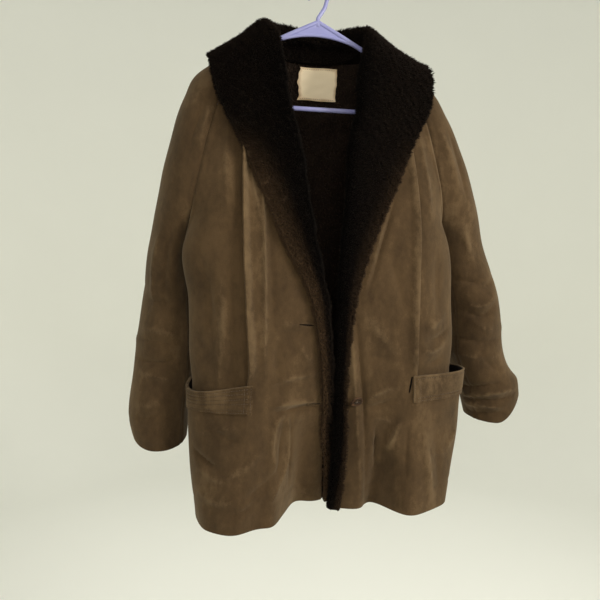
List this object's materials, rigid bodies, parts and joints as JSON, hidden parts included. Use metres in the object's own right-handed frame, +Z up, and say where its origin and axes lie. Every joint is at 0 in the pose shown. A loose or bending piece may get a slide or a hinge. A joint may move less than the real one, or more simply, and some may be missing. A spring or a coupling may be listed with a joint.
{
  "type": "suede coat on a hanger",
  "caption": "Hip-length suede coat with raglan sleeves, pockets with turned bands and a long dark pile collar, hanging open at the front on a plastic tubular hanger.",
  "frame": {"origin": "where the hook rests on its rail: the inside top of the hook's bow", "axes": "+Z up along the hanging coat, +X to the wearer's left, the coat's front faces -Y"},
  "size_m": [0.7467, 0.2595, 0.9134],
  "materials": {
    "suede": "napped suede, worn, olive brown",
    "pile": "dense dark brown pile",
    "label_cloth": "plain woven cream label, worn",
    "button_horn": "dark brown horn-like plastic",
    "hanger_plastic": "lavender moulded plastic"
  },
  "bodies": {
    "root": {"hanger": "hanger_plastic", "back": "suede", "front_right": "suede", "front_left": "suede", "side_right": "suede", "side_left": "suede", "sleeve_right": "suede", "sleeve_left": "suede", "pocket_band_right": "suede", "pocket_band_left": "suede", "collar_right": "pile", "collar_left": "pile", "lining_back": "pile", "label": "label_cloth", "button": "button_horn"}
  },
  "joints": []
}
